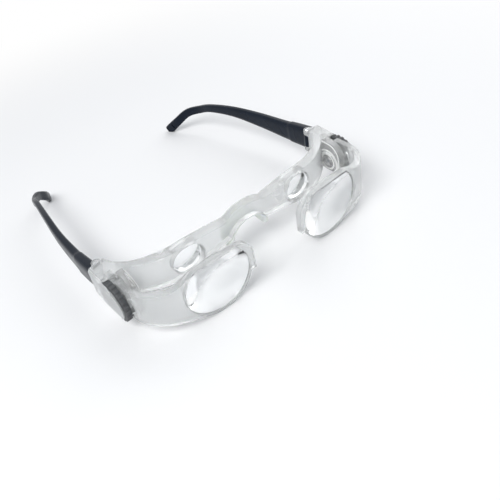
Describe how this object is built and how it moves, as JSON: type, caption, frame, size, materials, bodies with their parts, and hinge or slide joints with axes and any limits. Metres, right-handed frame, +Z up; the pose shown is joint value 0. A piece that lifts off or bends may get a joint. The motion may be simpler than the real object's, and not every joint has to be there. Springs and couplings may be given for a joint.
{
  "type": "magnifier glasses",
  "caption": "Binocular magnifier glasses: clear frame, saddle nose pad, sliding front lenses each focused by a ribbed side wheel, and folding curved temples.",
  "frame": {"origin": "Middle of the base: centre of the bounding box in X and Y, on the table the open glasses stand on.", "axes": "+X is the wearer's left, +Y runs back from the front lenses to the ear tips, +Z is up from the table. The optical axes lean about 7 degrees down to the front."},
  "size_m": [0.1478, 0.1764, 0.0318],
  "materials": {
    "clear_plastic": "clear polycarbonate, moulded satin, slightly milky",
    "soft_pad": "soft translucent silicone, matt",
    "lens": "polished, clear",
    "steel": "bright turned steel",
    "wheel_plastic": "dark grey moulded plastic, fine grain",
    "temple_plastic": "blue-black moulded plastic, satin with a soft sheen"
  },
  "bodies": {
    "frame": {"rear_frame": "clear_plastic", "nose_saddle": "soft_pad", "eyepiece_lens_left": "lens", "eyepiece_lens_right": "lens", "bearing_cover_left": "clear_plastic", "bearing_cover_right": "clear_plastic", "wheel_screw_left": "steel", "wheel_screw_right": "steel", "spring_washer_left": "steel", "spring_washer_right": "steel", "hinge_screw_left": "steel", "hinge_screw_right": "steel"},
    "carrier_left": {"lens_carrier_left": "clear_plastic", "objective_lens_left": "lens", "follower_pin_left": "steel"},
    "wheel_left": {"focus_wheel_left": "wheel_plastic"},
    "temple_left": {"temple_left": "temple_plastic"},
    "carrier_right": {"lens_carrier_right": "clear_plastic", "objective_lens_right": "lens", "follower_pin_right": "steel"},
    "wheel_right": {"focus_wheel_right": "wheel_plastic"},
    "temple_right": {"temple_right": "temple_plastic"}
  },
  "joints": [
    {"name": "wheel_turn_left", "type": "hinge", "parent": "frame", "child": "wheel_left", "pos_m": [0.071, -0.05476, 0.0162], "axis": [1, 0, 0], "range_deg": [-150, 150]},
    {"name": "carrier_slide_left", "type": "slide", "parent": "frame", "child": "carrier_left", "axis": [0, -0.993, -0.1179], "range_m": [-0.002, 0.002]},
    {"name": "temple_fold_left", "type": "hinge", "parent": "frame", "child": "temple_left", "pos_m": [0.0676, -0.03471, 0.02039], "axis": [0, -0.1179, 0.993], "range_deg": [0, 90]},
    {"name": "wheel_turn_right", "type": "hinge", "parent": "frame", "child": "wheel_right", "pos_m": [-0.071, -0.05476, 0.0162], "axis": [1, 0, 0], "range_deg": [-150, 150]},
    {"name": "carrier_slide_right", "type": "slide", "parent": "frame", "child": "carrier_right", "axis": [0, -0.993, -0.1179], "range_m": [-0.002, 0.002]},
    {"name": "temple_fold_right", "type": "hinge", "parent": "frame", "child": "temple_right", "pos_m": [-0.0676, -0.03471, 0.02039], "axis": [0, 0.1179, -0.993], "range_deg": [0, 82]}
  ],
  "couplings": [
    {"joint": "wheel_turn_left", "follows": "carrier_slide_left", "rad_per_m": 1309},
    {"joint": "wheel_turn_right", "follows": "carrier_slide_right", "rad_per_m": 1309}
  ]
}
